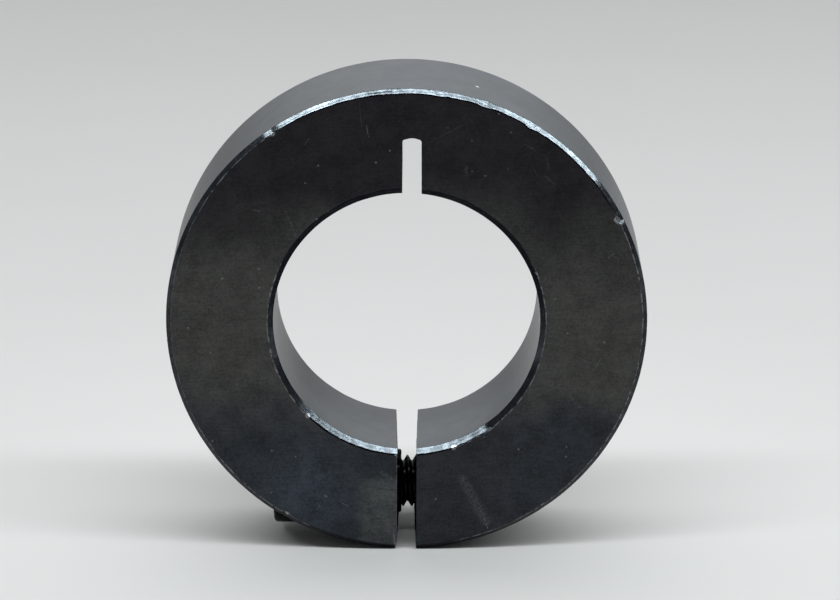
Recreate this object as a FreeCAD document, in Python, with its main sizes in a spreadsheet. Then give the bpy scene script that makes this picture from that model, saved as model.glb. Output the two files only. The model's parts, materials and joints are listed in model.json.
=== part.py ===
import FreeCAD, Part
import os
import Sketcher

# One-piece clamp collar for a 30 mm shaft, in millimetres.
# The origin is the centre of the bore. +Y runs along the bore and +Z is up.
# The clamping slit is at the bottom, and a blind relief slot is opposite it.
# The ring is one piece of steel in reality. Here it is two solids that meet in the middle of the web
# above the relief slot, because the web is where the ring bends when the screw draws the slit together.

OUTPUT_FOLDER = "parts"

# Name of the cell, its value in millimetres or as a count, and what it is.
DIMENSIONS = [
    ("bore_diameter", 30.0, "shaft bore"),
    ("outer_diameter", 54.0, "outside of the ring"),
    ("ring_width", 15.0, "length of the ring along the bore"),
    ("outer_chamfer", 0.5, "chamfer on both outside edges"),
    ("bore_chamfer", 0.65, "chamfer on both bore edges"),
    ("slit_width", 2.1, "clamping slit, sawn right through the wall"),
    ("relief_width", 2.15, "relief slot opposite the slit"),
    ("relief_end", 21.4, "end of the relief slot, above the bore axis"),
    ("relief_offset", 0.6, "middle of the relief slot, to the right of the bore axis"),
    ("relief_corner", 0.4, "corner radius at the end of the relief slot"),
    ("overrun", 1.0, "how far each cut runs past the material"),
    ("screw_drop", 21.3, "screw axis, below the bore axis"),
    ("seat_offset", 9.3, "seat of the screw head, to the left of the bore axis"),
    ("counterbore_diameter", 11.0, "counterbore for the screw head"),
    ("clearance_diameter", 6.6, "clearance hole between the seat and the slit"),
    ("burr_diameter", 7.3, "burr around the mouth of the clearance hole in the slit"),
    ("burr_height", 0.45, "how far the burr stands into the slit"),
    ("burr_rounding", 0.12, "rounding of the burr's outer edge"),
    ("thread_pitch", 1.0, "M6 thread"),
    ("tapped_length", 21.5, "tapped thread, from the bore axis to past the outside"),
    ("thread_start", 7.4, "first groove of the screw's thread, to the left of the bore axis"),
    ("flank_slope", 0.57735, "thread flank: axial rise for each millimetre of radius, or tan 30 degrees"),
    ("screw_major", 5.95, "crests of the screw's thread"),
    ("screw_root", 4.77, "root of the screw's thread"),
    ("screw_groove", 0.86, "width of the screw's thread groove at its mouth"),
    ("tapped_minor", 5.2, "crests of the tapped thread"),
    ("tapped_root", 6.24, "root of the tapped thread"),
    ("tapped_groove", 0.76, "width of the tapped thread's groove at its mouth"),
    ("screw_length", 20.0, "screw, from the seat to the tip"),
    ("tip_chamfer", 0.7, "chamfer at the screw's tip"),
    ("head_diameter", 9.5, "screw head"),
    ("head_height", 6.0, "screw head"),
    ("head_rounding", 0.5, "rounding of the head's outer edge"),
    ("neck_rounding", 0.25, "rounding where the shank meets the head"),
    ("key_size", 5.0, "hexagon socket, across flats"),
    ("key_depth", 3.0, "hexagon socket"),
    ("pilot_diameter", 4.9, "drilled hole that the hexagon is broached into"),
    ("pilot_point", 1.4, "depth of the drill point below the hexagon"),
    ("mouth_diameter", 5.9, "chamfered mouth of the socket"),
    ("mouth_depth", 0.3, "chamfered mouth of the socket"),
    ("knurl_depth", 0.16, "straight knurl on the head"),
    ("knurl_groove", 0.42, "width of a knurl groove"),
    ("knurl_margin", 0.8, "plain band between the knurl and each end of the head"),
    ("knurl_count", 54, "grooves in the knurl"),
]

SKETCH_ORIGIN = (-1, 1)
HORIZONTAL_AXIS = -1
VERTICAL_AXIS = -2
START_POINT = 1
END_POINT = 2
CENTRE_POINT = 3


def make_dimensions(doc):
    """The spreadsheet that every size is bound to."""
    sheet = doc.addObject("Spreadsheet::Sheet", "Dimensions")
    for row, (alias, value, meaning) in enumerate(DIMENSIONS, start=1):
        sheet.set(f"A{row}", meaning)
        sheet.set(f"B{row}", str(value))
        sheet.setAlias(f"B{row}", alias)
    doc.recompute()
    return sheet


def bound(expression):
    """The expression with each cell's name led by the spreadsheet's, as the document needs it."""
    aliases = {alias for alias, _, _ in DIMENSIONS}
    words = expression.replace("(", "( ").replace(")", " )").split()
    return " ".join("Dimensions." + word if word in aliases else word for word in words)


def value_of(doc, expression):
    return float(doc.Dimensions.evalExpression(bound(expression)))


def dimension(sketch, name, kind, place, expression):
    """A named dimension of a sketch, bound to the spreadsheet."""
    value = value_of(sketch.Document, expression)
    index = sketch.addConstraint(Sketcher.Constraint(kind, *place, value))
    sketch.renameConstraint(index, name)
    sketch.setExpression("Constraints." + name, bound(expression))


def place_point(sketch, name, geometry, point, across, up):
    """Fixes a point of a sketch at (across, up) from the sketch's origin. "0" puts it on an axis."""
    if across == "0":
        sketch.addConstraint(Sketcher.Constraint("PointOnObject", geometry, point, VERTICAL_AXIS))
    else:
        dimension(sketch, name + "_across", "DistanceX", (*SKETCH_ORIGIN, geometry, point), across)
    if up == "0":
        sketch.addConstraint(Sketcher.Constraint("PointOnObject", geometry, point, HORIZONTAL_AXIS))
    else:
        dimension(sketch, name + "_up", "DistanceY", (*SKETCH_ORIGIN, geometry, point), up)


def draw_outline(sketch, corners):
    """A closed outline of straight lines through the corners, each a pair of expressions."""
    doc = sketch.Document
    points = [FreeCAD.Vector(value_of(doc, across), value_of(doc, up), 0) for across, up in corners]
    following = points[1:] + points[:1]
    lines = [sketch.addGeometry(Part.LineSegment(a, b), False) for a, b in zip(points, following)]
    for line, next_line in zip(lines, lines[1:] + lines[:1]):
        sketch.addConstraint(Sketcher.Constraint("Coincident", line, END_POINT, next_line, START_POINT))
    for line, (across, up) in zip(lines, corners):
        place_point(sketch, f"corner_{line + 1}", line, START_POINT, across, up)


def draw_circle(sketch, name, across, up, diameter):
    doc = sketch.Document
    centre = FreeCAD.Vector(value_of(doc, across), value_of(doc, up), 0)
    normal = FreeCAD.Vector(0, 0, 1)
    circle = sketch.addGeometry(Part.Circle(centre, normal, value_of(doc, diameter) / 2), False)
    dimension(sketch, name + "_diameter", "Diameter", (circle,), diameter)
    place_point(sketch, name, circle, CENTRE_POINT, across, up)


def make_body(doc, label):
    body = doc.addObject("PartDesign::Body", label)
    body.Label = label
    return body


def origin_feature(body, role):
    return next(feature for feature in body.Origin.OriginFeatures if feature.Role == role)


def add_sketch(body, name, plane, offset=None):
    """A sketch on one of the body's origin planes. offset moves it in its own x, y or z by an expression."""
    sketch = body.newObject("Sketcher::SketchObject", name)
    sketch.AttachmentSupport = [(origin_feature(body, plane), "")]
    sketch.MapMode = "FlatFace"
    for direction, expression in (offset or {}).items():
        sketch.setExpression("AttachmentOffset.Base." + direction, bound(expression))
    return sketch


def finish_feature(body, feature, removes=True):
    """Recomputes, and stops if a cut took nothing away or an addition added nothing."""
    before = feature.BaseFeature.Shape.Volume if feature.BaseFeature else 0.0
    body.Document.recompute()
    if "Invalid" in feature.State or "Error" in feature.State:
        raise RuntimeError(f"{feature.Label} failed: {feature.State}")
    gain = feature.Shape.Volume - before
    if (gain >= 0) if removes else (gain <= 0):
        raise RuntimeError(f"{feature.Label} changed the volume by {gain:.4f} mm3")
    return feature


def revolve(body, sketch, axis, name, kind):
    """Turns a profile about one of the body's axes, to add it ("Revolution") or to cut with it ("Groove")."""
    feature = body.newObject("PartDesign::" + kind, name)
    feature.Profile = sketch
    feature.ReferenceAxis = (origin_feature(body, axis), [""])
    feature.Angle = 360
    return finish_feature(body, feature, removes=kind == "Groove")


def cut_both_ways(body, sketch, name):
    feature = body.newObject("PartDesign::Pocket", name)
    feature.Profile = sketch
    feature.Type = "ThroughAll"
    feature.SideType = "Symmetric"
    return finish_feature(body, feature)


def cut_one_way(body, sketch, name, along_normal, depth=None):
    """A pocket from its sketch's plane, right through the material or as deep as an expression says."""
    feature = body.newObject("PartDesign::Pocket", name)
    feature.Profile = sketch
    feature.Reversed = along_normal
    if depth is None:
        feature.Type = "ThroughAll"
    else:
        feature.setExpression("Length", bound(depth))
    return finish_feature(body, feature)


def round_edges(body, name, radius, wanted):
    """Rounds every edge of the body that wanted says yes to."""
    base = body.Tip
    names = [f"Edge{number}" for number, edge in enumerate(base.Shape.Edges, start=1) if wanted(edge)]
    if not names:
        raise RuntimeError(f"{name} found no edge to round")
    feature = body.newObject("PartDesign::Fillet", name)
    feature.Base = (base, names)
    feature.setExpression("Radius", bound(radius))
    body.Document.recompute()
    return feature


def is_circle(edge, x, radius):
    """Whether an edge is a circle about the X direction, at x, of that radius."""
    curve = edge.Curve
    return (
        isinstance(curve, Part.Circle)
        and abs(curve.Center.x - x) < 1e-4
        and abs(curve.Radius - radius) < 1e-4
    )


def cut_thread(body, sketch, name, height):
    """Cuts a right-hand thread groove along the sketch's horizontal axis."""
    feature = body.newObject("PartDesign::SubtractiveHelix", name)
    feature.Profile = sketch
    feature.ReferenceAxis = (sketch, ["H_Axis"])
    feature.Mode = "pitch-height-angle"
    feature.setExpression("Pitch", bound("thread_pitch"))
    feature.setExpression("Height", bound(height))
    return finish_feature(body, feature)


def turn_ring(body):
    """The whole ring with its four chamfers, turned about the bore axis."""
    sketch = add_sketch(body, body.Label + "_ring_profile", "YZ_Plane")
    front = "0 - ring_width / 2"
    back = "ring_width / 2"
    outside = "outer_diameter / 2"
    bore = "bore_diameter / 2"
    corners = [
        (front, bore + " + bore_chamfer"),
        (front, outside + " - outer_chamfer"),
        (front + " + outer_chamfer", outside),
        (back + " - outer_chamfer", outside),
        (back, outside + " - outer_chamfer"),
        (back, bore + " + bore_chamfer"),
        (back + " - bore_chamfer", bore),
        (front + " + bore_chamfer", bore),
    ]
    draw_outline(sketch, corners)
    revolve(body, sketch, "Y_Axis", body.Label + "_ring", "Revolution")


def draw_rectangle(sketch, left, right, bottom, top):
    draw_outline(sketch, [(left, bottom), (right, bottom), (right, top), (left, top)])


def cut_slit(body):
    """The clamping slit, through the wall below the bore."""
    sketch = add_sketch(body, body.Label + "_slit_outline", "XZ_Plane")
    draw_rectangle(
        sketch,
        left="0 - slit_width / 2",
        right="slit_width / 2",
        bottom="0 - outer_diameter / 2 - overrun",
        top="0 - bore_diameter / 2 + overrun",
    )
    cut_both_ways(body, sketch, body.Label + "_slit")


def cut_relief(body):
    """The blind slot opposite the slit, which leaves the thin web that bends."""
    sketch = add_sketch(body, body.Label + "_relief_outline", "XZ_Plane")
    draw_rectangle(
        sketch,
        left="relief_offset - relief_width / 2",
        right="relief_offset + relief_width / 2",
        bottom="bore_diameter / 2 - overrun",
        top="relief_end",
    )
    cut_both_ways(body, sketch, body.Label + "_relief")


def keep_one_side(body, side):
    """Cuts the ring at the middle of the web and keeps its left side ("head") or its right ("thread")."""
    sketch = add_sketch(body, body.Label + "_other_side_outline", "XZ_Plane")
    far_right = "outer_diameter / 2 + overrun"
    far_left = "0 - ( " + far_right + " )"
    if side == "head":
        draw_rectangle(sketch, left="relief_offset", right=far_right, bottom=far_left, top=far_right)
    else:
        draw_rectangle(sketch, left=far_left, right="relief_offset", bottom=far_left, top=far_right)
    cut_both_ways(body, sketch, body.Label + "_other_side")


def round_relief_corner(body):
    """Rounds the corner at the end of the relief slot."""
    relief_end = value_of(body.Document, "relief_end")
    web_middle = value_of(body.Document, "relief_offset")

    def is_corner(edge):
        centre = edge.CenterOfMass
        along_bore = abs(edge.tangentAt(edge.FirstParameter).y) > 0.999
        return along_bore and abs(centre.z - relief_end) < 1e-4 and abs(centre.x - web_middle) > 1e-4

    round_edges(body, body.Label + "_relief_corner", "relief_corner", is_corner)


def make_ring_blank(doc, label, side):
    body = make_body(doc, label)
    turn_ring(body)
    cut_slit(body)
    cut_relief(body)
    keep_one_side(body, side)
    round_relief_corner(body)
    return body


def make_head_side(doc):
    """The half of the ring that the screw's head pulls on: counterbore, clearance hole and its burr."""
    body = make_ring_blank(doc, "ring_head_side", "head")

    sketch = add_sketch(body, "counterbore_outline", "YZ_Plane", {"z": "0 - seat_offset"})
    draw_circle(sketch, "counterbore", "0", "0 - screw_drop", "counterbore_diameter")
    cut_one_way(body, sketch, "counterbore", along_normal=False)

    sketch = add_sketch(body, "clearance_outline", "YZ_Plane")
    draw_circle(sketch, "clearance", "0", "0 - screw_drop", "clearance_diameter")
    cut_one_way(body, sketch, "clearance_hole", along_normal=False)

    sketch = add_sketch(body, "burr_outline", "YZ_Plane", {"z": "0 - slit_width / 2"})
    draw_circle(sketch, "burr_outside", "0", "0 - screw_drop", "burr_diameter")
    draw_circle(sketch, "burr_inside", "0", "0 - screw_drop", "clearance_diameter")
    burr = body.newObject("PartDesign::Pad", "burr")
    burr.Profile = sketch
    burr.setExpression("Length", bound("burr_height"))
    finish_feature(body, burr, removes=False)
    tip = value_of(doc, "0 - slit_width / 2 + burr_height")
    radius = value_of(doc, "burr_diameter / 2")
    round_edges(body, "burr_edge", "burr_rounding", lambda edge: is_circle(edge, tip, radius))
    return body


def make_thread_side(doc):
    """The half of the ring that the screw pulls: tapped right through to the outside."""
    body = make_ring_blank(doc, "ring_thread_side", "thread")

    sketch = add_sketch(body, "tap_drill_outline", "YZ_Plane")
    draw_circle(sketch, "tap_drill", "0", "0 - screw_drop", "tapped_minor")
    cut_one_way(body, sketch, "tap_drill", along_normal=True)

    # The tapped groove lies on a crest of the screw, seven and a half turns on from the screw's first groove.
    crest = "thread_pitch * 7.5 - thread_start"
    sketch = add_sketch(body, "tapped_profile", "XZ_Plane", {"x": crest, "y": "0 - screw_drop"})
    mouth = "tapped_groove / 2"
    root = "tapped_groove / 2 - ( tapped_root - tapped_minor ) / 2 * flank_slope"
    inner = "tapped_minor / 2 - overrun / 10"
    outline = [
        ("0 - " + mouth, inner),
        (mouth, inner),
        (mouth, "tapped_minor / 2"),
        (root, "tapped_root / 2"),
        ("0 - ( " + root + " )", "tapped_root / 2"),
        ("0 - " + mouth, "tapped_minor / 2"),
    ]
    draw_outline(sketch, outline)
    cut_thread(body, sketch, "tapped_thread", "tapped_length")
    return body


def make_screw(doc):
    """M6 socket head cap screw, along X, in a frame of its own on the screw's axis."""
    body = make_body(doc, "clamp_screw")
    body.setExpression("Placement.Base.z", bound("0 - screw_drop"))
    seat = "0 - seat_offset"
    top = "0 - seat_offset - head_height"
    tip = "screw_length - seat_offset"

    sketch = add_sketch(body, "screw_profile", "XZ_Plane")
    outline = [
        (top, "0"),
        (top, "head_diameter / 2"),
        (seat, "head_diameter / 2"),
        (seat, "screw_major / 2"),
        (tip + " - tip_chamfer", "screw_major / 2"),
        (tip, "screw_major / 2 - tip_chamfer"),
        (tip, "0"),
    ]
    draw_outline(sketch, outline)
    revolve(body, sketch, "X_Axis", "screw_blank", "Revolution")

    top_x = value_of(doc, top)
    seat_x = value_of(doc, seat)
    head_radius = value_of(doc, "head_diameter / 2")
    shank_radius = value_of(doc, "screw_major / 2")
    round_edges(body, "head_edge", "head_rounding", lambda edge: is_circle(edge, top_x, head_radius))
    round_edges(body, "neck", "neck_rounding", lambda edge: is_circle(edge, seat_x, shank_radius))

    sketch = add_sketch(body, "pilot_profile", "XZ_Plane")
    floor = top + " + key_depth"
    outline = [
        (top, "0"),
        (top, "mouth_diameter / 2"),
        (top + " + mouth_depth", "pilot_diameter / 2"),
        (floor, "pilot_diameter / 2"),
        (floor + " + pilot_point", "0"),
    ]
    draw_outline(sketch, outline)
    revolve(body, sketch, "X_Axis", "pilot_hole", "Groove")

    sketch = add_sketch(body, "hexagon_outline", "YZ_Plane", {"z": top})
    half_flat = "key_size / 2"
    half_side = "key_size / 2 * flank_slope"
    corner = "key_size * flank_slope"
    outline = [
        (half_flat, half_side),
        ("0", corner),
        ("0 - " + half_flat, half_side),
        ("0 - " + half_flat, "0 - " + half_side),
        ("0", "0 - " + corner),
        (half_flat, "0 - " + half_side),
    ]
    draw_outline(sketch, outline)
    cut_one_way(body, sketch, "hexagon_socket", along_normal=True, depth="key_depth")

    sketch = add_sketch(body, "knurl_profile", "YZ_Plane", {"z": top + " + knurl_margin"})
    outline = [
        ("0 - knurl_groove / 2", "head_diameter / 2 + overrun / 10"),
        ("0", "head_diameter / 2 - knurl_depth"),
        ("knurl_groove / 2", "head_diameter / 2 + overrun / 10"),
    ]
    draw_outline(sketch, outline)
    groove = cut_one_way(
        body, sketch, "knurl_groove_cut", along_normal=True, depth="head_height - 2 * knurl_margin"
    )
    knurl = body.newObject("PartDesign::PolarPattern", "knurl")
    knurl.Originals = [groove]
    knurl.Axis = (origin_feature(body, "X_Axis"), [""])
    knurl.Angle = 360
    knurl.setExpression("Occurrences", bound("knurl_count"))
    body.Tip = knurl
    doc.recompute()

    sketch = add_sketch(body, "screw_thread_profile", "XZ_Plane", {"x": "0 - thread_start"})
    mouth = "screw_groove / 2"
    root = "screw_groove / 2 - ( screw_major - screw_root ) / 2 * flank_slope"
    outer = "screw_major / 2 + overrun / 10"
    outline = [
        ("0 - " + mouth, outer),
        ("0 - " + mouth, "screw_major / 2"),
        ("0 - ( " + root + " )", "screw_root / 2"),
        (root, "screw_root / 2"),
        (mouth, "screw_major / 2"),
        (mouth, outer),
    ]
    draw_outline(sketch, outline)
    cut_thread(body, sketch, "screw_thread", "screw_length - seat_offset + thread_start + thread_pitch")
    return body


def check_document(doc, bodies):
    """Stops if any object failed, or if a sub-part isn't one good solid."""
    for item in doc.Objects:
        if "Invalid" in item.State or "Error" in item.State:
            raise RuntimeError(f"{item.Label} failed: {item.State}")
    for body in bodies:
        shape = body.Shape
        if shape.isNull() or not shape.isValid() or len(shape.Solids) != 1:
            raise RuntimeError(f"{body.Label} isn't one valid solid")


def main():
    doc = FreeCAD.newDocument("shaft_collar")
    make_dimensions(doc)
    bodies = [make_head_side(doc), make_thread_side(doc), make_screw(doc)]
    doc.recompute()
    check_document(doc, bodies)
    os.makedirs(OUTPUT_FOLDER, exist_ok=True)
    for body in bodies:
        body.Shape.exportStep(f"{OUTPUT_FOLDER}/{body.Label}.step")
        print(f"{body.Label}: {body.Shape.Volume:.1f} mm3")


main()
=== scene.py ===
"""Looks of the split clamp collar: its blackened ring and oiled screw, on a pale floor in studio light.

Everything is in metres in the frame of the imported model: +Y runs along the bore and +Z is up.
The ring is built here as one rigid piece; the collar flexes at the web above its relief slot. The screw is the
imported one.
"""
import json
import math
from functools import partial

import bmesh
import bpy
import numpy as np
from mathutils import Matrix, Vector, noise


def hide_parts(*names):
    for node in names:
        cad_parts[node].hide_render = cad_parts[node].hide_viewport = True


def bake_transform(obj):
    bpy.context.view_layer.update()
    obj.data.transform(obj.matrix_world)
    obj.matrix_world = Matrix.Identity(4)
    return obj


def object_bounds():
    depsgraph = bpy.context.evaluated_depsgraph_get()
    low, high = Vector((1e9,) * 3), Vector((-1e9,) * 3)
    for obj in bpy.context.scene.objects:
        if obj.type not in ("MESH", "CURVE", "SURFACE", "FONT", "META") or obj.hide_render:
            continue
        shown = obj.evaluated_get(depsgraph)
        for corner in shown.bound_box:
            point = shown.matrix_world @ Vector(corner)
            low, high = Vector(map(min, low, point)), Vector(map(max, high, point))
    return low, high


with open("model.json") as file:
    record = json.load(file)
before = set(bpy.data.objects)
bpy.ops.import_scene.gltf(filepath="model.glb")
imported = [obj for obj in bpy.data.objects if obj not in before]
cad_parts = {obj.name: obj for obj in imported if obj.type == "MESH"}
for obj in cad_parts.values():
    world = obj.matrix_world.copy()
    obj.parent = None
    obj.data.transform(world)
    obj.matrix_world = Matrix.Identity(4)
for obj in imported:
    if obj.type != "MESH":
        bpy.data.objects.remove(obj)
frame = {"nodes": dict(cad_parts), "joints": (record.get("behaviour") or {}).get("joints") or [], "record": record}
CAD_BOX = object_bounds()

MM = 0.001
NODES = frame["nodes"]
JOINTS = {joint["name"]: joint for joint in frame["joints"]}
MOUNTS = {mount["name"]: mount for mount in frame["record"]["mounts"]}
HEAD_SIDE, THREAD_SIDE, SCREW = "ring_head_side", "ring_thread_side", "clamp_screw"


# ---------------------------------------------------------------- sizes, read from the frame

def corners(node, keep):
    """The corners of a CAD node that pass a test."""
    return [v.co for v in NODES[node].data.vertices if keep(v.co)]


def from_screw_axis(point):
    """Distance of a point from the axis of the screw."""
    return math.hypot(point.y, point.z - SCREW_Z)


def beside_holes(point):
    """Whether a point of the lower half is further along the bore than the screw's holes reach."""
    return point.z < 0 and abs(point.y) > HOLES_REACH


def beside_relief(point):
    """Whether a point is level with the relief slot's walls, clear of the bore and of the slot's end."""
    return 0.55 < point.z / RELIEF_END < 0.98


HOLES_REACH = 6.0 * MM
OUTER_RADIUS = CAD_BOX[1][0]
HALF_WIDTH = CAD_BOX[1][1]
FLOOR_Z = CAD_BOX[0][2]
BORE_RADIUS = MOUNTS["shaft_bore"]["dims"]["r_mm"] * MM
SCREW_Z = JOINTS["screw_turn"]["pos_m"][2]
RELIEF_MIDDLE = JOINTS["jaw_close"]["pos_m"][0]
RELIEF_END = JOINTS["jaw_close"]["pos_m"][2]

SLIT_LEFT = max(p.x for p in corners(HEAD_SIDE, beside_holes))
SLIT_RIGHT = min(p.x for p in corners(THREAD_SIDE, beside_holes))
RELIEF_HALF = RELIEF_MIDDLE - max(p.x for p in corners(HEAD_SIDE, beside_relief))
CLEARANCE_RADIUS = min(from_screw_axis(v.co) for v in NODES[HEAD_SIDE].data.vertices)
SEAT_X = min(p.x for p in corners(HEAD_SIDE, lambda p: from_screw_axis(p) < CLEARANCE_RADIUS + 0.5 * MM))
COUNTERBORE_RADIUS = min(from_screw_axis(p) for p in corners(HEAD_SIDE, lambda p: p.x < SEAT_X - 0.1 * MM))
BURR_TOP = max(p.x for p in corners(HEAD_SIDE, lambda p: p.z < 0))
BURR = corners(HEAD_SIDE, lambda p: p.z < 0 and p.x > SLIT_LEFT + 0.05 * MM)
BURR_RADIUS = max(from_screw_axis(p) for p in BURR)
TAPPED_MINOR = min(from_screw_axis(v.co) for v in NODES[THREAD_SIDE].data.vertices)
TAPPED = corners(THREAD_SIDE, lambda p: from_screw_axis(p) < TAPPED_MINOR + 0.8 * MM)
TAPPED_ROOT = max(from_screw_axis(p) for p in TAPPED)

# The pitch of the M6 thread, as it is cut in the CAD.
THREAD_PITCH = 1.0 * MM

# Sizes that only the looks have.
OUTER_CHAMFER = 0.5 * MM
BORE_CHAMFER = 0.62 * MM
SAWN_EDGE = 0.06 * MM
RELIEF_EDGE = 0.12 * MM
RELIEF_CORNER = 0.36 * MM
RELIEF_CROWN = 0.14 * MM
SLIT_LEAN = 0.05 * MM
SLIT_TWIST = 0.385 * MM
TWIST_STILL_AT = 0.43
SLIT_RAGGED = 0.03 * MM
RAGGED_STEP = 0.55 * MM
LEFT_WALL_OUT = 0.06 * MM
CHIP_DEPTH = 0.17 * MM
CHIP_TOP = 0.89
CHIP_SPREAD = 0.08


# ---------------------------------------------------------------- the ring's outline

LEFTWARD = np.array([-1.0, 0.0])
RIGHTWARD = np.array([1.0, 0.0])
UPWARD = np.array([0.0, 1.0])
FRONT, BACK = -1, 1


def point_on(radius, x, sign):
    """The point at x on a circle about the bore axis, above it (sign 1) or below it (sign -1)."""
    return np.array([x, sign * math.sqrt(radius * radius - x * x)])


def from_bore_axis(point):
    """Direction of a point of the outline as seen from the bore axis."""
    return point / math.hypot(*point)


class Outline:
    """The closed outline of the ring's face in the XZ plane, with the normals that its chamfers follow.

    A normal points from the outline into the metal.
    """

    def __init__(self):
        self.points = {FRONT: [], BACK: []}
        self.normals = []
        self.chamfers = []
        self.second_normals = []

    def add(self, point, normal, chamfer, second=None, back=None):
        """One corner of the outline. It lies elsewhere on the back face if back is given."""
        self.points[FRONT].append(point)
        self.points[BACK].append(point if back is None else back)
        self.normals.append(normal)
        self.chamfers.append(chamfer)
        self.second_normals.append((0.0, 0.0) if second is None else second)

    def corner(self, point, normal, chamfer, second, place):
        """A corner between a round and a sawn wall, moved by the function of the sawn wall."""
        self.add(place(point, FRONT), normal, chamfer, second, back=place(point, BACK))

    def arc(self, start, end, steps, chamfer, into, turn):
        """Points strictly between two points of a circle about the bore axis.

        They run anticlockwise (turn 1) or clockwise (-1).
        The metal is outside the circle (into 1) or inside it (-1).
        """
        radius = math.hypot(*start)
        first = math.atan2(start[1], start[0])
        sweep = (math.atan2(end[1], end[0]) - first) % (turn * 2 * math.pi)
        for step in range(1, steps):
            angle = first + sweep * step / steps
            radial = np.array([math.cos(angle), math.sin(angle)])
            self.add(radius * radial, into * radial, chamfer)

    def line(self, start, end, steps, chamfer, normal, place=None):
        """Points of a wall between two of its corners, clear of the chamfers there.

        A sawn wall gives the function that moves its points.
        """
        clear = 1.0 * MM / math.hypot(*(end - start))
        for step in range(steps + 1):
            share = clear + (1 - 2 * clear) * step / steps
            point = start + (end - start) * share
            if place is None:
                self.add(point, normal, chamfer)
            else:
                self.add(place(point, FRONT), normal, chamfer, back=place(point, BACK))

    def fillet(self, centre, radius, first, last, steps, chamfer):
        """Points of a concave corner, both ends included."""
        for step in range(steps + 1):
            angle = first + (last - first) * step / steps
            radial = np.array([math.cos(angle), math.sin(angle)])
            self.add(centre + radius * radial, radial, chamfer)


def slit_wall(point, side, hand):
    """A point of the left (hand -1) or right (1) slit wall, moved to where the saw left it on one side.

    The walls are ragged, lean a little and twist. The low left corner is knocked off on the front.
    How far down the wall a point is goes from 0 at the bore to 1 at the outside.
    """
    down = (-BORE_RADIUS - point[1]) / (OUTER_RADIUS - BORE_RADIUS)
    shift = SLIT_RAGGED * noise.noise(Vector((point[1] / RAGGED_STEP, 7.0 * hand, 2.0 * side)))
    shift -= SLIT_LEAN * (down - 0.5)
    shift -= LEFT_WALL_OUT if hand < 0 else 0.0
    if side == BACK:
        shift += hand * SLIT_TWIST * (TWIST_STILL_AT - down)
    elif hand < 0:
        low = min(max((down - CHIP_TOP) / CHIP_SPREAD, 0.0), 1.0)
        shift -= CHIP_DEPTH * low * low * (3 - 2 * low)
    return np.array([point[0] + shift, point[1]])


def add_relief_slot(outline, start, end):
    """Up the left wall of the relief slot, over its slightly crowned end and down its right wall."""
    corner_z = RELIEF_END - RELIEF_CROWN - RELIEF_CORNER
    left = np.array([RELIEF_MIDDLE - RELIEF_HALF, corner_z])
    right = np.array([RELIEF_MIDDLE + RELIEF_HALF, corner_z])
    outline.line(start, left, 4, RELIEF_EDGE, LEFTWARD)
    outline.fillet(left + RIGHTWARD * RELIEF_CORNER, RELIEF_CORNER, math.pi, math.pi / 2, 8, RELIEF_EDGE)
    for step in range(1, 6):
        across = -1 + step / 3
        x = RELIEF_MIDDLE + across * (RELIEF_HALF - RELIEF_CORNER)
        z = RELIEF_END - RELIEF_CROWN * across * across
        outline.add(np.array([x, z]), UPWARD, RELIEF_EDGE)
    outline.fillet(right + LEFTWARD * RELIEF_CORNER, RELIEF_CORNER, math.pi / 2, 0.0, 8, RELIEF_EDGE)
    outline.line(right, end, 4, RELIEF_EDGE, RIGHTWARD)


def ring_outline():
    """Once round the ring: outside, slit's left wall, bore, relief slot, bore, slit's right wall."""
    outline = Outline()
    left_wall = partial(slit_wall, hand=-1)
    right_wall = partial(slit_wall, hand=1)
    outer_left = point_on(OUTER_RADIUS, SLIT_LEFT, -1)
    outer_right = point_on(OUTER_RADIUS, SLIT_RIGHT, -1)
    bore_left = point_on(BORE_RADIUS, SLIT_LEFT, -1)
    bore_right = point_on(BORE_RADIUS, SLIT_RIGHT, -1)
    relief_left = point_on(BORE_RADIUS, RELIEF_MIDDLE - RELIEF_HALF, 1)
    relief_right = point_on(BORE_RADIUS, RELIEF_MIDDLE + RELIEF_HALF, 1)

    outline.corner(outer_right, -from_bore_axis(outer_right), OUTER_CHAMFER, RIGHTWARD, right_wall)
    outline.arc(outer_right, outer_left, 290, OUTER_CHAMFER, -1, 1)
    outline.corner(outer_left, -from_bore_axis(outer_left), OUTER_CHAMFER, LEFTWARD, left_wall)
    outline.line(outer_left, bore_left, 36, SAWN_EDGE, LEFTWARD, left_wall)
    outline.corner(bore_left, from_bore_axis(bore_left), BORE_CHAMFER, LEFTWARD, left_wall)
    outline.arc(bore_left, relief_left, 80, BORE_CHAMFER, 1, -1)
    outline.add(relief_left, from_bore_axis(relief_left), BORE_CHAMFER, LEFTWARD)
    add_relief_slot(outline, relief_left, relief_right)
    outline.add(relief_right, from_bore_axis(relief_right), BORE_CHAMFER, RIGHTWARD)
    outline.arc(relief_right, bore_right, 80, BORE_CHAMFER, 1, -1)
    outline.corner(bore_right, from_bore_axis(bore_right), BORE_CHAMFER, RIGHTWARD, right_wall)
    outline.line(bore_right, outer_right, 36, SAWN_EDGE, RIGHTWARD, right_wall)
    return outline


# ---------------------------------------------------------------- the ring's mesh

# Rows of corners across one chamfer, and steps from one chamfer to the other.
LEVELS = 11
ROWS_ACROSS = 10

# How far rows lie beyond a chamfer (guard) and inside its rounded edges (hold), and the radii of those edges.
GUARD = 0.1 * MM
HOLD = 0.02 * MM
EDGE_AT_WALL = 0.03 * MM
EDGE_AT_FACE = 0.12 * MM
CHAMFER_WOBBLE = 0.08
NICK_SPREAD = 0.55 * MM

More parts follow.
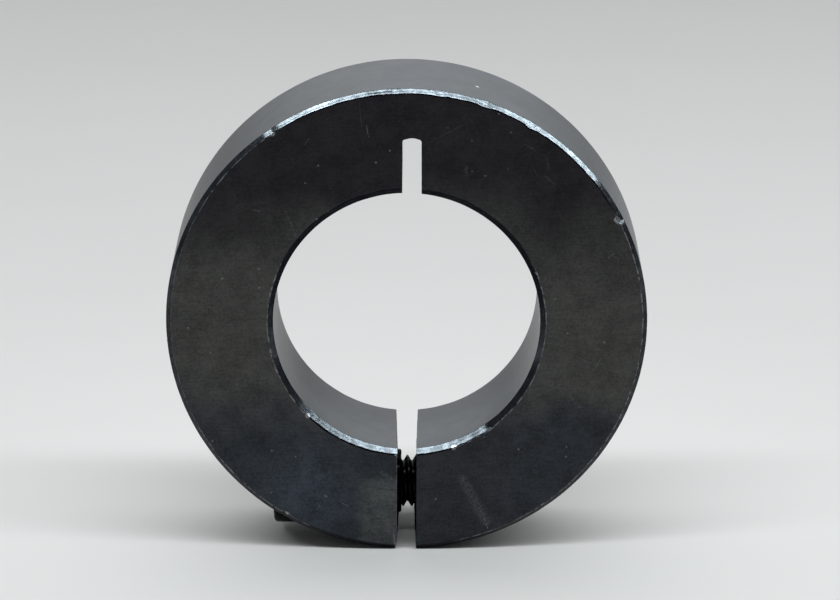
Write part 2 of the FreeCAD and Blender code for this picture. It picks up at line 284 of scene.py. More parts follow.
# Dents where the front edges were knocked: degrees clockwise from the top, radius, depth, how bare it is.
NICKS = [(62.8, 27.0, 0.30, 0.9), (225.6, 15.0, 0.12, 1.0), (160.0, 15.0, 0.14, 1.0), (7.6, 27.0, 0.12, 0.35),
         (-34.0, 27.0, 0.10, 0.7), (31.0, 27.0, 0.22, 0.0), (19.0, 27.0, 0.16, 0.0), (211.0, 27.0, 0.20, 0.6),
         (68.0, 15.0, 0.10, 0.6), (143.0, 15.0, 0.10, 0.6)]


def edge_profile(chamfer, at_wall, at_face):
    """Inset and depth of each level, from the wall to the face, across a chamfer with rounded edges.

    Levels just inside the roundings keep the chamfer between them flat in shading.
    """
    wall_cut, face_cut = at_wall * math.sqrt(0.5), at_face * math.sqrt(0.5)
    profile = [(0, chamfer + at_wall + GUARD), (0, chamfer + at_wall)]
    profile.append((0.25 * wall_cut, chamfer + 0.25 * at_wall - 0.25 * wall_cut))
    profile.append((wall_cut, chamfer - wall_cut))
    profile.append((wall_cut + HOLD, chamfer - wall_cut - HOLD))
    profile.append((chamfer - face_cut - HOLD, face_cut + HOLD))
    for share in (0.0, 1 / 3, 2 / 3, 1.0):
        flat, bend, face = (1 - share) ** 2, 2 * share * (1 - share), share * share
        inset = flat * (chamfer - face_cut) + bend * chamfer + face * (chamfer + at_face)
        profile.append((inset, flat * face_cut))
    profile.append((chamfer + at_face + GUARD, 0))
    return profile


def uneven(point, y, seed, step):
    """Smooth noise from about -1 to 1 along an edge."""
    return noise.fractal(Vector((point[0] / step, y / step + seed, point[1] / step)), 0.8, 2.0, 4)


def nick_place(angle, radius):
    """The place of a nick in the XZ plane."""
    turn = math.radians(angle)
    return radius * MM * math.sin(turn), radius * MM * math.cos(turn)


def chamfer_at(point, chamfer, side):
    """Width of the chamfer at one place of one face, and the rounding of its two edges, all a bit uneven."""
    y = side * HALF_WIDTH
    width = chamfer * (1 + CHAMFER_WOBBLE * uneven(point, y, 3.7 + side, 1.7 * MM))
    if side == FRONT:
        for angle, radius, depth, _ in NICKS:
            x, z = nick_place(angle, radius)
            away = math.hypot(point[0] - x, point[1] - z) / NICK_SPREAD
            width += depth * MM * math.exp(-away * away)
    rough = 1 + 0.5 * uneven(point, y, 11.3 + side, 0.6 * MM)
    return width, min(EDGE_AT_WALL, 0.2 * chamfer), min(EDGE_AT_FACE, 0.2 * chamfer) * rough


def face_column(outline, index, side):
    """The places of one corner of the outline across one face's edge: from the wall to the face."""
    point = outline.points[side][index]
    first, second = outline.normals[index], outline.second_normals[index]
    is_corner = second[0] != 0 or second[1] != 0
    column = []
    for inset, depth in edge_profile(*chamfer_at(point, outline.chamfers[index], side)):
        shift = np.asarray(first) * inset
        if is_corner:
            beside = max(0.0, 1.5 * SAWN_EDGE - depth)
            shift = np.linalg.solve(np.array([first, second]), np.array([inset, beside]))
        place = point + shift
        column.append((place[0], side * (HALF_WIDTH - depth), place[1]))
    return column


def skin(rows, count, last_cap=True):
    """Quads between closed rows of corners, then a face over the first row and one over the last."""
    faces = []
    for row in range(rows - 1):
        for i in range(count):
            j = (i + 1) % count
            low, high = row * count, (row + 1) * count
            faces.append((low + i, low + j, high + j, high + i))
    faces.append(tuple(reversed(range(count))))
    if last_cap:
        faces.append(tuple((rows - 1) * count + i for i in range(count)))
    return faces


def new_object(name, vertices, faces):
    mesh = bpy.data.meshes.new(name)
    mesh.from_pydata(vertices, [], faces)
    mesh.update()
    made = bpy.data.objects.new(name, mesh)
    bpy.context.scene.collection.objects.link(made)
    return made


def ring_blank():
    """The turned and slit ring, before its holes."""
    outline = ring_outline()
    count = len(outline.normals)
    front = [face_column(outline, i, FRONT) for i in range(count)]
    back = [face_column(outline, i, BACK) for i in range(count)]
    rows = [[column[level] for column in front] for level in reversed(range(LEVELS))]
    for row in range(1, ROWS_ACROSS):
        share = row / ROWS_ACROSS
        middle = [np.array(a[0]) * (1 - share) + np.array(b[0]) * share for a, b in zip(front, back)]
        rows.append([tuple(place) for place in middle])
    rows += [[column[level] for column in back] for level in range(LEVELS)]
    return new_object("collar_ring", [place for row in rows for place in row], skin(len(rows), count))


# ---------------------------------------------------------------- the ring's holes

COUNTERBORE_STEPS, CLEARANCE_STEPS, THREAD_STEPS, BURR_STEPS = 160, 96, 72, 96
SLICES_PER_PITCH = 12
BURR_ROUNDING = 0.2 * MM
GROOVE_FLOOR_HALF = 0.08
GROOVE_MOUTH_HALF = 0.38
SHARP_ANGLE = math.radians(32)


def around_screw(name, stations, steps):
    """A closed solid about the screw's axis.

    Each station along X gives its place, and its radius as a function of place and angle.
    """
    vertices = []
    for x, radius_at in stations:
        for step in range(steps):
            angle = 2 * math.pi * step / steps
            radius = radius_at(x, angle)
            vertices.append((x, radius * math.cos(angle), SCREW_Z + radius * math.sin(angle)))
    return new_object(name, vertices, skin(len(stations), steps))


def plain_round(radius):
    return lambda x, angle: radius


def thread_phase():
    """Where the tapped groove lies at angle 0, as a share of the pitch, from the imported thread's root."""
    turns = []
    for p in corners(THREAD_SIDE, lambda p: abs(from_screw_axis(p) - TAPPED_ROOT) < 0.02 * MM):
        angle = math.atan2(p.z - SCREW_Z, p.y)
        turns.append(p.x / THREAD_PITCH - angle / (2 * math.pi))
    spin = np.exp(2j * math.pi * np.array(turns)).mean()
    return np.angle(spin) / (2 * math.pi)


THREAD_PHASE = thread_phase()


def tapped_radius(x, angle):
    """Radius of the tapped thread: flat crests, straight flanks, flat roots."""
    turn = (x / THREAD_PITCH - angle / (2 * math.pi) - THREAD_PHASE) % 1.0
    off = min(turn, 1.0 - turn)
    share = (off - GROOVE_FLOOR_HALF) / (GROOVE_MOUTH_HALF - GROOVE_FLOOR_HALF)
    return TAPPED_ROOT + (TAPPED_MINOR - TAPPED_ROOT) * min(max(share, 0.0), 1.0)


def burr_height(angle):
    """The burr's edge is uneven: it was pushed out by the drill."""
    wave = noise.noise(Vector((1.9 * math.cos(angle), 1.9 * math.sin(angle), 4.2)))
    return BURR_TOP + 0.06 * MM * wave - 0.05 * MM


def burr_solid():
    """The collar of metal that the drill pushed into the slit, as a solid plug that the hole then opens."""
    stations = [(lambda angle: SLIT_LEFT - 0.4 * MM, BURR_RADIUS), (lambda angle: SLIT_LEFT, BURR_RADIUS)]
    for step in range(4):
        bend = math.pi / 2 * step / 3
        below = BURR_ROUNDING * (1 - math.sin(bend))
        inside = BURR_ROUNDING * (1 - math.cos(bend))
        stations.append((lambda angle, below=below: burr_height(angle) - below, BURR_RADIUS - inside))
    vertices = []
    for x_at, radius in stations:
        for step in range(BURR_STEPS):
            angle = 2 * math.pi * step / BURR_STEPS
            vertices.append((x_at(angle), radius * math.cos(angle), SCREW_Z + radius * math.sin(angle)))
    last, centre = len(vertices) - BURR_STEPS, len(vertices)
    vertices.append((BURR_TOP - 0.1 * MM, 0.0, SCREW_Z))
    faces = skin(len(stations), BURR_STEPS, last_cap=False)
    faces += [(last + i, last + (i + 1) % BURR_STEPS, centre) for i in range(BURR_STEPS)]
    return new_object("burr", vertices, faces)


def join_or_cut(target, tool, operation):
    """One exact boolean, applied, and its tool removed."""
    step = target.modifiers.new("step", "BOOLEAN")
    step.operation = operation
    step.solver = "EXACT"
    step.object = tool
    bpy.context.view_layer.update()
    evaluated = target.evaluated_get(bpy.context.evaluated_depsgraph_get())
    result = bpy.data.meshes.new_from_object(evaluated)
    target.modifiers.clear()
    old = target.data
    target.data = result
    bpy.data.meshes.remove(old)
    bpy.data.objects.remove(tool)


def weld(piece):
    """Joins the doubled corners that the booleans leave, so that the mesh is closed."""
    mesh = bmesh.new()
    mesh.from_mesh(piece.data)
    bmesh.ops.remove_doubles(mesh, verts=mesh.verts, dist=0.001 * MM)
    mesh.to_mesh(piece.data)
    mesh.free()


def drill_ring(ring):
    """Adds the burr, then cuts the counterbore, the clearance hole and the tapped hole."""
    past = 3 * MM
    counterbore = [(x, plain_round(COUNTERBORE_RADIUS)) for x in (-OUTER_RADIUS - past, SEAT_X)]
    clearance = [(x, plain_round(CLEARANCE_RADIUS)) for x in (SEAT_X - past, 0.0)]
    reach = OUTER_RADIUS - SLIT_RIGHT
    steps = int(reach / THREAD_PITCH * SLICES_PER_PITCH)
    thread = [(SLIT_RIGHT - 0.3 * MM + reach * k / steps, tapped_radius) for k in range(steps + 1)]
    join_or_cut(ring, burr_solid(), "UNION")
    join_or_cut(ring, around_screw("counterbore", counterbore, COUNTERBORE_STEPS), "DIFFERENCE")
    join_or_cut(ring, around_screw("clearance", clearance, CLEARANCE_STEPS), "DIFFERENCE")
    join_or_cut(ring, around_screw("tapped_hole", thread, THREAD_STEPS), "DIFFERENCE")
    weld(ring)


def smooth_with_sharp_edges(piece):
    mesh = piece.data
    mesh.polygons.foreach_set("use_smooth", [True] * len(mesh.polygons))
    mesh.set_sharp_from_angle(angle=SHARP_ANGLE)


ring = ring_blank()
drill_ring(ring)
ring.data.name = "collar_ring"
smooth_with_sharp_edges(ring)
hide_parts(HEAD_SIDE, THREAD_SIDE)


# ---------------------------------------------------------------- short calls that add nodes

class Nodes:
    """Short calls that add shader nodes to one tree."""

    def __init__(self, tree):
        self.tree = tree

    def link(self, value, socket):
        if isinstance(value, bpy.types.NodeSocket):
            self.tree.links.new(value, socket)
        elif isinstance(value, tuple) and len(value) == 3 and socket.type == "RGBA":
            socket.default_value = (*value, 1.0)
        else:
            socket.default_value = value

    def link_all(self, node, *values):
        for value, socket in zip(values, node.inputs):
            self.link(value, socket)
        return node.outputs[0]

    def calc(self, operation, a, b=0.0, c=0.0):
        node = self.tree.nodes.new("ShaderNodeMath")
        node.operation = operation
        return self.link_all(node, a, b, c)

    def add(self, *values):
        result = values[0]
        for value in values[1:]:
            result = self.calc("ADD", result, value)
        return result

    def times(self, *values):
        result = values[0]
        for value in values[1:]:
            result = self.calc("MULTIPLY", result, value)
        return result

    def highest(self, *values):
        result = values[0]
        for value in values[1:]:
            result = self.calc("MAXIMUM", result, value)
        return result

    def gap(self, a, b):
        """Distance between two values."""
        return self.calc("ABSOLUTE", self.calc("SUBTRACT", a, b))

    def swing(self, value, size):
        """A noise with a mean of 0.5, made to swing about 0."""
        return self.times(self.calc("SUBTRACT", value, 0.5), size)

    def vector(self, operation, a, b=(0.0, 0.0, 0.0), scale=1.0):
        node = self.tree.nodes.new("ShaderNodeVectorMath")
        node.operation = operation
        self.link(a, node.inputs[0])
        self.link(b, node.inputs[1])
        if operation == "SCALE":
            self.link(scale, node.inputs["Scale"])
        is_number = operation in ("LENGTH", "DISTANCE", "DOT_PRODUCT")
        return node.outputs["Value" if is_number else "Vector"]

    def split(self, vector):
        node = self.tree.nodes.new("ShaderNodeSeparateXYZ")
        self.link(vector, node.inputs[0])
        return node.outputs[0], node.outputs[1], node.outputs[2]

    def join(self, x, y, z):
        return self.link_all(self.tree.nodes.new("ShaderNodeCombineXYZ"), x, y, z)

    def between(self, value, low, high, to_low=0.0, to_high=1.0):
        """Goes smoothly from to_low to to_high as the value goes from low to high."""
        node = self.tree.nodes.new("ShaderNodeMapRange")
        node.interpolation_type = "SMOOTHSTEP"
        return self.link_all(node, value, low, high, to_low, to_high)

    def mix(self, share, a, b):
        """One colour turning into another."""
        node = self.tree.nodes.new("ShaderNodeMix")
        node.data_type = "RGBA"
        self.link(share, node.inputs["Factor"])
        self.link(a, node.inputs[6])
        self.link(b, node.inputs[7])
        return node.outputs[2]

    def lerp(self, share, a, b):
        """One number turning into another."""
        node = self.tree.nodes.new("ShaderNodeMix")
        self.link(share, node.inputs["Factor"])
        self.link(a, node.inputs[2])
        self.link(b, node.inputs[3])
        return node.outputs[0]


class Shader(Nodes):
    """One material. Its places are in millimetres in the object's own frame."""

    def __init__(self, name):
        self.material = bpy.data.materials.new(name)
        self.material.use_nodes = True
        super().__init__(self.material.node_tree)
        self.surface = self.tree.nodes["Principled BSDF"]
        where = self.tree.nodes.new("ShaderNodeTexCoord")
        self.place = self.vector("SCALE", where.outputs["Object"], scale=1 / MM)
        self.x, self.y, self.z = self.split(self.place)
        self.flat = self.join(self.x, 0.0, self.z)
        self.facing = self.split(where.outputs["Normal"])

    def shifted(self, x, y, z):
        """The place moved, so that a noise of it is one of its own."""
        return self.vector("ADD", self.place, (x, y, z))

    def noise(self, scale, detail=3.0, roughness=0.55, place=None):
        """Noise with a mean of 0.5. The scale is features per millimetre."""
        node = self.tree.nodes.new("ShaderNodeTexNoise")
        self.link(self.place if place is None else place, node.inputs["Vector"])
        node.inputs["Scale"].default_value = scale
        node.inputs["Detail"].default_value = detail
        node.inputs["Roughness"].default_value = roughness
        return node.outputs["Fac"]

    def cells(self, scale, shift):
        """Distance from the nearest of scattered points, and a random number for each of them."""
        node = self.tree.nodes.new("ShaderNodeTexVoronoi")
        self.link(self.shifted(shift, shift, shift), node.inputs["Vector"])
        node.inputs["Scale"].default_value = scale
        return node.outputs["Distance"], self.split(node.outputs["Color"])[0]

    def near(self, centre, radius):
        """1 at a place, fading to 0 at a radius from it, in millimetres."""
        return self.between(self.vector("DISTANCE", self.place, centre), 0.0, radius, 1.0, 0.0)

    def from_line(self, start, end):
        """Distance in the XZ plane from a straight line between two points of it."""
        first = (start[0], 0.0, start[1])
        run = (end[0] - start[0], 0.0, end[1] - start[1])
        length = math.hypot(run[0], run[2])
        offset = self.vector("SUBTRACT", self.flat, first)
        share = self.vector("DOT_PRODUCT", offset, tuple(part / length**2 for part in run))
        node = self.tree.nodes.new("ShaderNodeClamp")
        self.link(share, node.inputs[0])
        return self.vector("DISTANCE", offset, self.vector("SCALE", run, scale=node.outputs[0]))

    def bump(self, height, depth, strength):
        node = self.tree.nodes.new("ShaderNodeBump")
        node.inputs["Distance"].default_value = depth
        node.inputs["Strength"].default_value = strength
        self.link(height, node.inputs["Height"])
        self.link(node.outputs[0], self.surface.inputs["Normal"])

    def finish(self, **inputs):
        for name, value in inputs.items():
            self.link(value, self.surface.inputs[name.replace("_", " ")])
        return self.material


# ---------------------------------------------------------------- the ring's material

FRONT_Y = -HALF_WIDTH / MM

# So high an index lets a chamfer be glossier than a specular level of 1. The scale brings the rest back down.
STEEL_IOR = 2.0
GLOSS_SCALE = 0.36

FACE_WARM = (0.024, 0.0245, 0.021)
# The top and low face tones are painted shade, darker than the faces' own warm grey.
FACE_TOP_SHADE = (0.0066, 0.0055, 0.0086)
FACE_LOW_SHADE = (0.0125, 0.0165, 0.0235)
FACE_LILAC = (0.0130, 0.0128, 0.0185)
FACE_PALE = (0.050, 0.058, 0.057)
FACE_BLUE = (0.030, 0.040, 0.056)
TURNED_LIGHT = (0.066, 0.072, 0.080)
TURNED_DARK = (0.054, 0.060, 0.068)
# Painted shade: the turned sides darken to this towards the left.
TURNED_LEFT_SHADE = (0.040, 0.043, 0.044)
CHAMFER_BLACK = (0.008, 0.008, 0.011)
# Painted shade: the near-black line along the unworn face edges.
CREASE_SHADE_BLACK = (0.002, 0.002, 0.005)
# Painted shade: the dark of the walls inside the narrow slit.
SLIT_WALL_SHADE_BLACK = (0.012, 0.012, 0.015)
# Painted shade: the near black over the burr and the hole's mouth in the slit.
BURR_SHADE_BLACK = (0.002, 0.0018, 0.0026)
RUBBED_THIN = (0.22, 0.235, 0.26)
BARE_STEEL = (0.40, 0.41, 0.42)
FLECK_WHITE = (0.75, 0.75, 0.75)
CLEAR_TINT = (1.0, 1.0, 1.0)
CHAMFER_TINT = (0.80, 0.92, 1.0)

# Marks of handling on the front face: both ends as (x, z) in millimetres, half width and strength.
RUBS = [((6.4, -18.6), (9.0, -23.6), 0.85, 0.16), ((8.5, -22.4), (9.2, -24.4), 0.09, 0.45),
        ((-4.4, 22.9), (-4.2, 21.6), 0.09, 0.28), ((-10.8, 21.4), (-11.3, 20.7), 0.10, 0.20),
        ((-17.1, 13.2), (-16.3, 13.1), 0.10, 0.24), ((-13.4, 13.0), (-12.4, 10.3), 0.20, 0.09),
        ((6.6, 18.1), (6.7, 17.2), 0.25, 0.13), ((15.4, 17.1), (16.4, 16.2), 0.18, 0.11),
        ((-9.3, -20.5), (-9.1, -20.6), 0.15, 0.60), ((-7.3, -21.4), (-6.7, -21.7), 0.10, 0.35),
        ((-2.8, -17.7), (-1.2, -18.9), 0.35, 0.14), ((-2.6, -23.2), (-1.6, -25.0), 0.50, 0.12),
        ((22.4, 7.6), (23.2, 8.2), 0.09, 0.24), ((18.4, -8.6), (19.6, -9.9), 0.30, 0.09),
        ((-1.45, -24.6), (-1.45, -26.4), 0.17, 0.42), ((20.9, -5.6), (21.8, -4.2), 0.10, 0.20),
        ((19.2, -3.9), (20.4, -4.6), 0.09, 0.16), ((13.0, 20.8), (14.1, 20.2), 0.12, 0.12)]

# Fine scratches on the faces: direction in degrees, how many, threshold and seed.
SCRATCHES = [(28.0, 5.0, 0.72, 1.7), (-64.0, 6.0, 0.73, 9.2), (95.0, 5.0, 0.73, 5.5)]

# In the top chamfer a dark scar and its brightest spot. On the top of the outside a white fleck.
SCAR = ((-4.2, 26.45), (-1.6, 26.75))
BRIGHT_SPOT = (-9.6, -7.2, 25.1)
FLECK_SPOT = (7.9, -1.4, 25.8)


class RingShader(Shader):
    """The ring's material, with the masks and noises that its parts share."""

    def __init__(self):
        super().__init__("black_oxide_ring")
        turned = self.calc("ABSOLUTE", self.facing[1])
        self.on_face = self.between(turned, 0.93, 0.99)
        self.on_chamfer = self.times(self.between(turned, 0.25, 0.50),
                                     self.between(turned, 0.88, 0.96, 1.0, 0.0))
        self.face_edge = self.times(self.between(turned, 0.76, 0.86),
                                    self.between(turned, 0.97, 0.997, 1.0, 0.0))
        # The outside's edge is unworn at the top and the bore's at the bottom, with painted shade: a near-black
        # line along them at the face.
        self.crisp_and_shaded = self.highest(self.crisp_arc(-15.5, -13.0, 24.2, 22.5, 5.0, 8.0),
                                  self.crisp_arc(-11.8, -10.8, 6.2, 5.2, -5.0, -8.0))
        self.crease_shade = self.times(self.face_edge, self.crisp_and_shaded)
        # Painted shade: the walls of the narrow slit go dark and lose their gloss.
        self.sawn = self.times(self.between(self.calc("ABSOLUTE", self.facing[0]), 0.90, 0.97),
                               self.between(self.z, -13.0, -14.0),
                               self.between(self.x, -2.5, -2.0), self.between(self.x, 2.5, 2.0))

        self.radius = self.vector("LENGTH", self.flat)
        self.cloud = self.noise(0.11, 2.0)
        self.patch = self.noise(0.45, 3.0)
        self.grain = self.noise(4.2, 4.0, 0.65)
        streaks = self.join(self.times(self.x, 0.45), 3.0, self.times(self.z, 5.0))
        self.lay = self.noise(1.0, 3.0, 0.6, place=streaks)
        self.scratch = self.highest(*(self.scratches(*row) for row in SCRATCHES))
        self.burr_mouth_shade_mask = self.burr_mouth_shade()

    def crisp_arc(self, x0, x1, x2, x3, z0, z1):
        """A stretch of a round edge that fades in from x0 to x1, out from x3 to x2, and in from z0 to z1."""
        return self.times(self.between(self.x, x0, x1), self.between(self.x, x2, x3),
                          self.between(self.z, z0, z1))

    def scratches(self, direction, thread, cut, seed):
        """Fine straight scratches along a direction in degrees, where a patchy mask lets them show."""
        angle = math.radians(direction)
        cosine, sine = math.cos(angle), math.sin(angle)
        along = self.add(self.times(self.x, cosine), self.times(self.z, sine))
        across = self.calc("SUBTRACT", self.times(self.z, cosine), self.times(self.x, sine))
        stretched = self.join(self.times(along, 0.16), self.times(across, thread), seed)
        line = self.between(self.noise(1.0, 1.0, place=stretched), cut, cut + 0.05)
        patchy = self.noise(0.22, 1.0, place=self.shifted(seed, 0.0, seed))
        return self.times(line, self.between(patchy, 0.5, 0.62))

    def burr_mouth_shade(self):
        """Where painted shade lies: the burr and the mouth of the hole in the slit, which go near black and lose
        their gloss.
        """
        from_axis = self.vector("LENGTH", self.join(0.0, self.y, self.calc("SUBTRACT", self.z, SCREW_Z / MM)))
        left = SLIT_LEFT / MM
        in_slit = self.times(self.between(self.x, left - 0.15, left + 0.02), self.between(self.x, 3.0, 2.5))
        return self.times(in_slit, self.between(from_axis, BURR_RADIUS / MM + 0.3, BURR_RADIUS / MM + 0.02))

    def face_tone(self):
        """Tone and gloss of the faces: purple-black at the top, warm grey at the sides, blue-grey below.
        The darker tones and lower gloss at the top and below are painted shade.
        """
        height = self.add(self.z, self.swing(self.cloud, 22.0))
        # Painted shade: the faces are darker and less glossy at the top and below.
        top = self.between(height, 3.0, 17.0)
        low = self.between(height, -4.0, -15.0)
        tone = self.mix(top, FACE_WARM, FACE_TOP_SHADE)
        tone = self.mix(low, tone, FACE_LOW_SHADE)
        lilac = self.times(self.between(self.x, 1.0, 3.0), self.between(self.x, 14.0, 5.0), low)
        tone = self.mix(lilac, tone, FACE_LILAC)
        pale = self.times(self.between(self.x, -7.0, -3.8), self.between(self.x, 0.5, 0.0),
                          self.between(self.z, -17.0, -20.5))
        tone = self.mix(self.times(pale, self.between(self.patch, 0.35, 0.6, 0.6, 1.0)), tone, FACE_PALE)
        tone = self.mix(self.times(self.near((-11.0, FRONT_Y, -20.0), 9.0), 0.9), tone, FACE_BLUE)
        not_pale = self.calc("SUBTRACT", 1.0, self.times(pale, 0.6))
        gloss = self.add(0.47, self.times(top, -0.27), self.times(low, not_pale, -0.20))
        return tone, gloss

    def mottle(self):
        """How much lighter or darker than its tone each place is, with one turned line low on the faces."""
        line = self.times(self.between(self.gap(self.radius, 19.85), 0.03, 0.13, 1.0, 0.0),
                          self.between(self.z, -16.0, -19.0), self.on_face)
        level = self.add(1.0, self.swing(self.grain, 1.7),
                         self.swing(self.patch, self.lerp(self.on_face, 0.6, 1.1)),
                         self.times(self.swing(self.lay, 0.8), self.on_face), self.times(line, -0.25))
        return self.highest(level, 0.2)

    def oxide(self, tone, mottle):
        """Colour of the sound oxide: the faces, the turned sides and the chamfers.
        It carries painted shade too: the turned sides darken towards the left, and a near-black line runs along
        unworn face edges.
        """
        turned = self.mix(self.between(self.cloud, 0.4, 0.6), TURNED_LIGHT, TURNED_DARK)
        # Painted shade: the turned sides get darker towards the left.
        turned = self.mix(self.between(self.x, 0.0, -24.0), turned, TURNED_LEFT_SHADE)
        color = self.mix(self.on_face, turned, tone)
        color = self.mix(self.on_chamfer, color, CHAMFER_BLACK)
        # Painted shade: a near-black line along the unworn face edges.
        color = self.mix(self.crease_shade, color, CREASE_SHADE_BLACK)
        return self.vector("SCALE", color, scale=mottle)

    def rubs(self):
        """How much each place of the front face is rubbed by the marks of handling."""
        marks = []
        for start, end, half_width, strength in RUBS:
            away = self.from_line(start, end)
            marks.append(self.between(away, 0.25 * half_width, half_width, strength, 0.0))
        ragged = self.between(self.noise(3.2, 3.0, 0.7), 0.38, 0.58, 0.1, 1.0)
        return self.times(self.highest(0.0, *marks), ragged, self.between(self.facing[1], -0.5, -0.9))

    def rubbed(self):
        """Specks where the oxide is rubbed through, scratches and marks of handling."""
        distance, chance = self.cells(0.75, 3.1)
        speck = self.times(self.between(distance, 0.045, 0.12, 1.0, 0.0), self.between(chance, 0.70, 0.80))
        fine = self.times(self.highest(self.times(speck, 0.5), self.times(self.scratch, 0.10)), self.on_face)
        return self.highest(fine, self.rubs())

    def nick_glints(self):
        """Bare steel where the front edges were knocked."""
        spots = []
        for angle, radius, depth, bare in NICKS:
            onto_face = -0.55 if radius > BORE_RADIUS / MM else 0.55
            x, z = nick_place(angle, radius + onto_face)
            spots.append(self.times(self.near((x / MM, FRONT_Y, z / MM), 0.45 + 1.2 * depth), bare))
        ragged = self.swing(self.noise(2.8, 3.0, 0.7), 0.9)
        return self.between(self.add(self.highest(0.0, *spots), ragged), 0.30, 0.60)

    def worn(self):
        """Edges worn to bright steel, unevenly, most of all along the slit's left wall."""
        along = self.noise(0.55, 4.0, 0.7, place=self.shifted(40.0, 0.0, 0.0))
        dashes = self.noise(2.2, 3.0, 0.6, place=self.shifted(0.0, 0.0, 70.0))
        round_edges = self.times(self.face_edge, self.between(dashes, 0.42, 0.56),
                                 self.between(along, 0.34, 0.50), self.lerp(self.crisp_and_shaded, 0.42, 0.0),
                                 self.between(self.x, -25.5, -22.0, 0.35, 1.0))
        nicks = self.times(self.nick_glints(), self.calc("SUBTRACT", 1.0, self.times(self.on_face, 0.4)))
        slit_edge = self.times(self.between(self.gap(self.x, SLIT_LEFT / MM), 0.35, 0.30), self.face_edge,
                               self.between(self.z, -14.5, -15.5),
                               self.between(dashes, 0.34, 0.50, 0.4, 1.0), 0.85)
        return self.highest(round_edges, nicks, slit_edge)

    def chamfer_gloss(self):
        """The chamfers that face up are polished, blotchy and brightest at the top of the outside."""
        blotch = self.noise(1.1, 3.0, 0.6, place=self.shifted(0.0, 30.0, 0.0))
        spot = self.add(1.0, self.times(self.near(BRIGHT_SPOT, 2.0), 0.8))
        scar = self.between(self.from_line(*SCAR), 0.01, 0.11, 0.8, 0.0)
        return self.times(self.between(self.facing[2], 0.0, 0.35, 0.20, 1.0),
                          self.between(self.z, 8.0, 14.0, 1.0, 1.75),
                          self.between(blotch, 0.38, 0.62, 0.72, 1.35),
                          spot, self.lerp(scar, 1.0, 0.08))

    def specular(self, face_gloss, mottle):
        level = self.lerp(self.on_face, self.lerp(self.on_chamfer, 0.62, self.chamfer_gloss()), face_gloss)
        # Painted shade cuts the gloss on the slit's walls, on the burr and along the unworn face edges.
        return self.times(level, GLOSS_SCALE, self.lerp(self.crease_shade, 1.0, 0.1),
                          self.between(mottle, 0.5, 1.5, 0.72, 1.28),
                          self.lerp(self.burr_mouth_shade_mask, 1.0, 0.02), self.lerp(self.sawn, 1.0, 0.0))

    def roughness(self):
        level = self.lerp(self.on_chamfer, self.lerp(self.on_face, 0.36, 0.40), 0.15)
        return self.add(level, self.swing(self.grain, self.lerp(self.on_chamfer, 0.35, 0.2)))

    def relief(self):
        """Fine height of the surface: grain, turning marks, the lay of the faces and scratches."""
        across = self.times(self.lerp(self.on_face, self.y, self.radius), 7.0)
        turning = self.noise(1.0, 2.0, 0.6, place=self.join(across, self.times(self.cloud, 1.5), 0.0))
        return self.add(self.times(self.grain, 0.7), self.times(self.noise(9.0, 2.0), 0.3),
                        self.times(turning, self.lerp(self.on_face, 0.8, 0.25)),
                        self.times(self.lay, self.on_face, 0.3), self.times(self.scratch, self.on_face, -0.3))


def ring_material():
    """Black oxide over turned steel: a mottled dull face, brighter turned sides and worn edges."""
    shader = RingShader()
    tone, face_gloss = shader.face_tone()
    mottle = shader.mottle()
    worn = shader.worn()
    color = shader.oxide(tone, mottle)
    color = shader.mix(shader.rubbed(), color, RUBBED_THIN)
    color = shader.mix(shader.between(shader.near(FLECK_SPOT, 0.4), 0.3, 0.6), color, FLECK_WHITE)
    color = shader.mix(worn, color, BARE_STEEL)
    # Painted shade: the slit's walls go dark.
    color = shader.mix(shader.sawn, color, SLIT_WALL_SHADE_BLACK)
    # Painted shade: the burr and the hole's mouth in the slit go near black.
    color = shader.mix(shader.burr_mouth_shade_mask, color, BURR_SHADE_BLACK)
    shader.bump(shader.relief(), 0.006 * MM, 0.8)
    return shader.finish(Base_Color=color, Roughness=shader.roughness(), Metallic=shader.times(worn, 0.8),
                         Specular_IOR_Level=shader.specular(face_gloss, mottle),
                         Specular_Tint=shader.mix(shader.on_chamfer, CLEAR_TINT, CHAMFER_TINT), IOR=STEEL_IOR)


# ---------------------------------------------------------------- the other materials

# Painted shade: the thread, deep in the slit, is darker than the head.
THREAD_SHADE_BLACK = (0.0022, 0.0020, 0.0030)
HEAD_BLACK = (0.0040, 0.0040, 0.0046)
HEAD_RUBBED = (0.008, 0.0078, 0.0075)
FLOOR_DARK = (0.735, 0.715, 0.685)
FLOOR_LIGHT = (0.765, 0.745, 0.715)


def screw_material():
    """Oiled black oxide, a little rubbed on the head.
    The thread is painted darker and less glossy than the head, as shade deep in the slit.
    """
    shader = Shader("oiled_black_screw")
    grain = shader.noise(5.0, 3.0)
    patch = shader.noise(0.9, 3.0)
    head = shader.between(shader.x, SEAT_X / MM + 0.2, SEAT_X / MM - 0.2)
    # Painted shade: the thread is darker and less glossy than the head.
    color = shader.mix(head, THREAD_SHADE_BLACK, HEAD_BLACK)
    color = shader.mix(shader.times(head, shader.between(patch, 0.5, 0.7), 0.6), color, HEAD_RUBBED)
    shader.bump(shader.add(grain, patch), 0.004 * MM, 0.7)
    return shader.finish(Base_Color=color, Specular_IOR_Level=shader.lerp(head, 0.07, 0.12),
                         Roughness=shader.add(shader.lerp(head, 0.20, 0.42), shader.swing(grain, 0.30)))


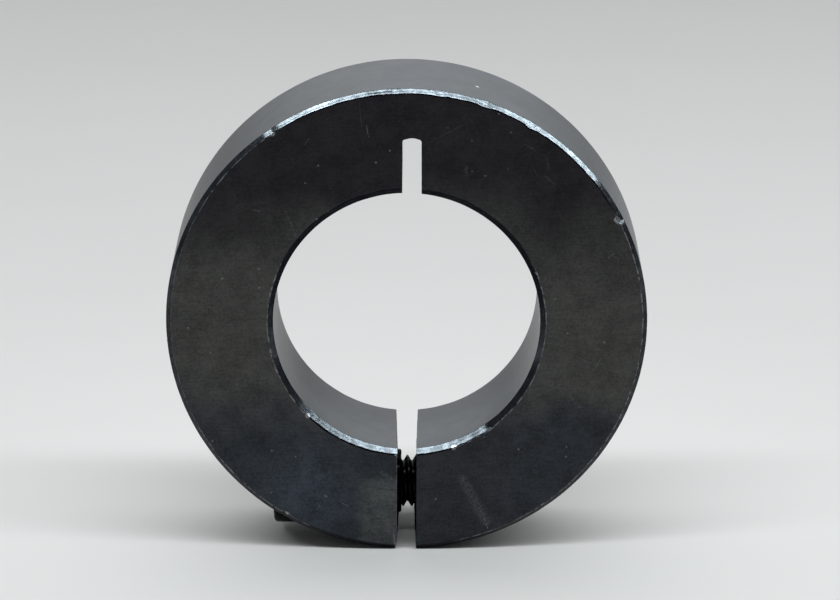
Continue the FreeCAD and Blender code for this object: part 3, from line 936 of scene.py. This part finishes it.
def floor_material():
    """A plain pale table top, faintly uneven, with a painted pool of light by the collar and painted shade
    darkening it towards its far end.
    """
    shader = Shader("pale_floor")
    color = shader.mix(shader.noise(0.02, 3.0), FLOOR_DARK, FLOOR_LIGHT)
    # Painted light by the collar and painted shade towards the far end.
    painted_light_by_collar = shader.times(shader.near((0.0, 0.0, FLOOR_Z / MM), 120.0), 0.10)
    brightness = shader.add(shader.between(shader.y, 60.0, 600.0, 1.0, 0.62), painted_light_by_collar)
    color = shader.vector("SCALE", color, scale=brightness)
    return shader.finish(Base_Color=color, Roughness=0.75, Specular_IOR_Level=0.3)


ring.data.materials.clear()
ring.data.materials.append(ring_material())
screw = NODES[SCREW]
screw.data.materials.clear()
screw.data.materials.append(screw_material())
smooth_with_sharp_edges(screw)
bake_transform(ring)


# ---------------------------------------------------------------- floor, light and camera

FLOOR_HALF = 2.5
STRIP_PLACE = (0.51, -0.265, 0.80)
STRIP_LENGTH, STRIP_WIDTH = 2.48, 0.10
STRIP_POWER = 10.4
STRIP_COLOR = (0.90, 0.96, 1.0)
ROOM_COLOR = (0.93, 0.97, 1.0)
CAMERA_PLACE = (1.5 * MM, -429.4 * MM, 131.35 * MM)
CAMERA_TILT = math.radians(73.05)
CAMERA_LENS = 168.94


def make_floor():
    half = FLOOR_HALF
    outline = [(-half, -half, FLOOR_Z), (half, -half, FLOOR_Z), (half, half, FLOOR_Z), (-half, half, FLOOR_Z)]
    floor = new_object("floor", outline, [(0, 1, 2, 3)])
    floor.data.materials.append(floor_material())


def make_strip_light():
    """A long bluish ceiling light, a little in front of the collar and reaching further to its right."""
    light = bpy.data.lights.new("ceiling_strip", "AREA")
    light.shape = "RECTANGLE"
    light.size, light.size_y = STRIP_LENGTH, STRIP_WIDTH
    light.energy = STRIP_POWER
    light.color = STRIP_COLOR
    holder = bpy.data.objects.new("ceiling_strip", light)
    holder.location = STRIP_PLACE
    bpy.context.scene.collection.objects.link(holder)


def make_world():
    """A studio: dim in front and paler behind, with a bright back wall and a bright ceiling above it."""
    world = bpy.data.worlds.new("studio")
    bpy.context.scene.world = world
    world.use_nodes = True
    nodes = Nodes(world.node_tree)
    where = nodes.tree.nodes.new("ShaderNodeTexCoord")
    y, z = nodes.split(where.outputs["Generated"])[1:]
    room = nodes.between(y, -0.2, 0.9, 0.08, 0.34)
    wall = nodes.times(nodes.between(y, 0.55, 0.95, 0.0, 0.62), nodes.between(z, 0.02, 0.20),
                       nodes.between(z, 0.50, 0.80, 1.0, 0.0))
    ceiling = nodes.times(nodes.between(y, -0.15, 0.25), nodes.between(z, 0.45, 0.75, 0.0, 0.95))
    background = nodes.tree.nodes["Background"]
    nodes.link(ROOM_COLOR, background.inputs["Color"])
    nodes.link(nodes.add(room, wall, ceiling), background.inputs["Strength"])


def make_camera():
    camera = bpy.data.cameras.new("camera")
    camera.sensor_width = 36.0
    camera.lens = CAMERA_LENS
    camera.clip_start = 0.01
    camera.clip_end = 50.0
    holder = bpy.data.objects.new("camera", camera)
    holder.location = CAMERA_PLACE
    holder.rotation_euler = (CAMERA_TILT, 0, 0)
    bpy.context.scene.collection.objects.link(holder)
    bpy.context.scene.camera = holder


make_floor()
make_world()
make_strip_light()
make_camera()
bpy.context.scene.view_settings.view_transform = "Standard"
